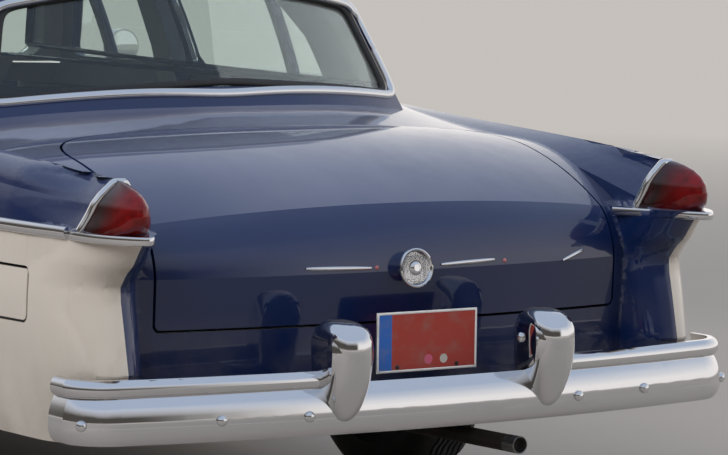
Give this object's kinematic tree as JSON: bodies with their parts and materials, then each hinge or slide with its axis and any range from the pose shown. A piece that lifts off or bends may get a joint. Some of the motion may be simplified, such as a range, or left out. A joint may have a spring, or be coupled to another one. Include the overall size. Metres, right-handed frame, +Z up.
{
  "type": "four-door saloon car",
  "caption": "Full-size 1950s four-door saloon with finned rear wings, wraparound rear glass, heavy bumpers with guards, opening doors, hood and boot, and steered front wheels.",
  "frame": {"origin": "on the ground, in the middle of the overall length and width", "axes": "+Z up, +Y towards the tail, +X towards the car's left side"},
  "size_m": [1.9688, 5.4763, 1.5933],
  "materials": {
    "blue_paint": "gloss",
    "cream_paint": "gloss",
    "chrome": "polished",
    "red_lens": "gloss",
    "lamp_glass": "gloss",
    "window_glass": "gloss",
    "upholstery": "matte",
    "black_steel": "satin",
    "engine_iron": "satin",
    "exhaust_steel": "satin",
    "underbody_paint": "matte",
    "plate_paint": "satin",
    "wheel_rim_plastic": "gloss",
    "tyre": "matte",
    "wheel_paint": "gloss"
  },
  "bodies": {
    "body": {"bumper_front": "chrome", "bumper_rear": "chrome", "chassis_frame": "black_steel", "cowl_dash": "blue_paint", "engine": "engine_iron", "exhaust": "exhaust_steel", "floor_pan": "underbody_paint", "front_seat": "upholstery", "front_suspension": "black_steel", "front_wings": "blue_paint", "fuel_tank": "black_steel", "grille": "chrome", "headlamp_bezels": "chrome", "headlamps": "lamp_glass", "licence_plate": "plate_paint", "nose_panel": "blue_paint", "radiator": "black_steel", "rear_axle": "black_steel", "rear_body": "blue_paint", "rear_seat": "upholstery", "rear_window": "window_glass", "roof": "blue_paint", "seat_runners": "black_steel", "tail_lamp_trim": "chrome", "tail_lamps": "red_lens", "windscreen": "window_glass"},
    "hood": {"hood": "blue_paint"},
    "boot_lid": {"boot_lid": "blue_paint"},
    "fuel_flap": {"fuel_flap": "cream_paint"},
    "steering_wheel": {"steering_wheel": "wheel_rim_plastic"},
    "knuckle_left": {"knuckle_left": "black_steel"},
    "knuckle_right": {"knuckle_right": "black_steel"},
    "wheel_front_left": {"wheel_front_left": "wheel_paint", "tyre_front_left": "tyre"},
    "door_front_left": {"door_front_left": "blue_paint", "door_glass_front_left": "window_glass", "mirror_left": "chrome"},
    "wheel_front_right": {"wheel_front_right": "wheel_paint", "tyre_front_right": "tyre"},
    "door_front_right": {"door_front_right": "blue_paint", "door_glass_front_right": "window_glass", "mirror_right": "chrome"},
    "wheel_rear_left": {"wheel_rear_left": "wheel_paint", "tyre_rear_left": "tyre"},
    "door_rear_left": {"door_rear_left": "blue_paint", "door_glass_rear_left": "window_glass"},
    "wheel_rear_right": {"wheel_rear_right": "wheel_paint", "tyre_rear_right": "tyre"},
    "door_rear_right": {"door_rear_right": "blue_paint", "door_glass_rear_right": "window_glass"}
  },
  "joints": [
    {"name": "door_front_left_hinge", "type": "hinge", "parent": "body", "child": "door_front_left", "pos_m": [0.966, -0.794, 0.7], "axis": [0, 0, -1], "range_deg": [0, 60]},
    {"name": "door_front_right_hinge", "type": "hinge", "parent": "body", "child": "door_front_right", "pos_m": [-0.966, -0.794, 0.7], "axis": [0, 0, 1], "range_deg": [0, 60]},
    {"name": "door_rear_left_hinge", "type": "hinge", "parent": "body", "child": "door_rear_left", "pos_m": [0.966, 0.186, 0.7], "axis": [0, 0, -1], "range_deg": [0, 60]},
    {"name": "door_rear_right_hinge", "type": "hinge", "parent": "body", "child": "door_rear_right", "pos_m": [-0.966, 0.186, 0.7], "axis": [0, 0, 1], "range_deg": [0, 60]},
    {"name": "hood_hinge", "type": "hinge", "parent": "body", "child": "hood", "pos_m": [0, -1.09, 1.096], "axis": [-1, 0, 0], "range_deg": [0, 45]},
    {"name": "boot_lid_hinge", "type": "hinge", "parent": "body", "child": "boot_lid", "pos_m": [0, 1.822, 1.05], "axis": [1, 0, 0], "range_deg": [0, 55]},
    {"name": "fuel_flap_hinge", "type": "hinge", "parent": "body", "child": "fuel_flap", "pos_m": [0.9518, 2.084, 0.702], "axis": [0, 0, -1], "range_deg": [0, 80]},
    {"name": "steer_left", "type": "hinge", "parent": "body", "child": "knuckle_left", "pos_m": [0.69, -1.8, 0.355], "axis": [0, 0, 1], "range_deg": [-28, 28]},
    {"name": "steer_right", "type": "hinge", "parent": "body", "child": "knuckle_right", "pos_m": [-0.69, -1.8, 0.355], "axis": [0, 0, 1], "range_deg": [-28, 28]},
    {"name": "steering_wheel_turn", "type": "hinge", "parent": "body", "child": "steering_wheel", "pos_m": [0.37, -0.42, 0.96], "axis": [0, 0.8829, 0.4695], "range_deg": [-452, 452]},
    {"name": "wheel_front_left_spin", "type": "hinge", "parent": "knuckle_left", "child": "wheel_front_left", "pos_m": [0.768, -1.8, 0.355], "axis": [1, 0, 0], "continuous": true},
    {"name": "wheel_front_right_spin", "type": "hinge", "parent": "knuckle_right", "child": "wheel_front_right", "pos_m": [-0.768, -1.8, 0.355], "axis": [1, 0, 0], "continuous": true},
    {"name": "wheel_rear_left_spin", "type": "hinge", "parent": "body", "child": "wheel_rear_left", "pos_m": [0.768, 1.299, 0.355], "axis": [1, 0, 0], "continuous": true},
    {"name": "wheel_rear_right_spin", "type": "hinge", "parent": "body", "child": "wheel_rear_right", "pos_m": [-0.768, 1.299, 0.355], "axis": [1, 0, 0], "continuous": true}
  ],
  "couplings": [
    {"joint": "steer_right", "follows": "steer_left", "ratio": 1},
    {"joint": "steering_wheel_turn", "follows": "steer_left", "ratio": 16}
  ]
}
